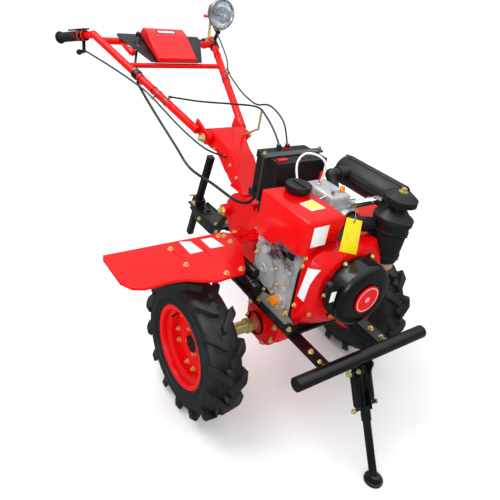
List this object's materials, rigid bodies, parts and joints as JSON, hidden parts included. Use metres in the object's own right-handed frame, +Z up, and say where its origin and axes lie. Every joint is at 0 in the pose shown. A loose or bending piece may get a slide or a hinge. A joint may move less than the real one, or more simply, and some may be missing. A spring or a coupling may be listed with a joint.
{
  "type": "walk-behind diesel power tiller",
  "caption": "Two-wheel walking tractor with lugged tyres, air-cooled diesel engine, front bumper with folding stand, long handlebar, side fenders and a rear hitch with depth stake.",
  "frame": {"origin": "on the ground below the middle of the whole length and width", "axes": "+X forward towards the bumper, +Y to the left, +Z up"},
  "size_m": [1.9432, 1.204, 1.138],
  "materials": {
    "black_paint": "satin black paint",
    "black_plastic": "textured black plastic",
    "cable_black": "black cable sheath",
    "cast_alloy": "as-cast aluminium",
    "chrome": "polished chrome",
    "grip_rubber": "ribbed black rubber",
    "lens_glass": "clear moulded glass",
    "muffler_black": "heat proof black paint",
    "orange_plastic": "orange plastic",
    "red_paint": "glossy red paint",
    "red_plastic": "glossy red plastic",
    "tan_plastic": "smoky tan plastic",
    "tyre_rubber": "matt black moulded rubber",
    "white_hose": "milky plastic hose",
    "zinc_plate": "yellow zinc plated steel"
  },
  "bodies": {
    "chassis": {"gearbox": "red_paint", "gearbox_cover": "red_paint", "frame_rails": "black_paint", "bumper": "black_paint", "stand_bracket": "black_paint", "crankcase": "cast_alloy", "cylinder_barrel": "cast_alloy", "cylinder_head": "cast_alloy", "rocker_cover": "cast_alloy", "shroud_plate": "black_paint", "fan_shroud": "red_paint", "recoil_cover": "black_paint", "recoil_disc": "red_plastic", "recoil_handle": "black_plastic", "tank_bracket": "black_paint", "fuel_tank": "red_paint", "tank_cap": "black_plastic", "muffler": "muffler_black", "air_cleaner": "black_plastic", "air_bowl": "tan_plastic", "intake_elbow": "black_plastic", "starter_motor": "black_paint", "injection_pump": "cast_alloy", "column": "red_paint", "handlebar": "red_paint", "grip_right": "grip_rubber", "grip_left": "grip_rubber", "hand_lever_right": "black_paint", "throttle_lever": "zinc_plate", "dash_tray": "black_plastic", "dash_cover": "red_plastic", "headlamp": "chrome", "headlamp_lens": "lens_glass", "lamp_bracket": "black_paint", "shift_lever": "black_paint", "battery": "black_plastic", "battery_tray": "black_paint", "battery_hold_down": "zinc_plate", "fender_right": "red_paint", "fender_left": "red_paint", "hitch": "black_paint", "cable_pin": "zinc_plate", "cable_clutch": "cable_black", "cable_loom": "cable_black", "cable_throttle": "cable_black", "lamp_lead": "cable_black", "fuel_hose": "white_hose", "oil_cap": "orange_plastic"},
    "wheel_right": {"tyre_right": "tyre_rubber", "rim_right": "red_paint", "half_shaft_right": "zinc_plate"},
    "wheel_left": {"tyre_left": "tyre_rubber", "rim_left": "red_paint", "half_shaft_left": "zinc_plate"},
    "stand": {"stand_leg": "black_paint", "stand_spring_right": "black_plastic", "stand_spring_left": "black_plastic"},
    "stake": {"depth_stake": "black_paint"}
  },
  "joints": [
    {"name": "wheel_right_spin", "type": "hinge", "parent": "chassis", "child": "wheel_right", "pos_m": [0.38457, -0.362, 0.243], "axis": [0, 1, 0], "continuous": true},
    {"name": "wheel_left_spin", "type": "hinge", "parent": "chassis", "child": "wheel_left", "pos_m": [0.38457, 0.362, 0.243], "axis": [0, 1, 0], "continuous": true},
    {"name": "stand_fold", "type": "hinge", "parent": "chassis", "child": "stand", "pos_m": [0.76657, 0, 0.318], "axis": [0, 1, 0], "range_deg": [0, 78]},
    {"name": "stake_slide", "type": "slide", "parent": "chassis", "child": "stake", "axis": [0.2588, 0, 0.9659], "range_m": [-0.1, 0.14]}
  ]
}
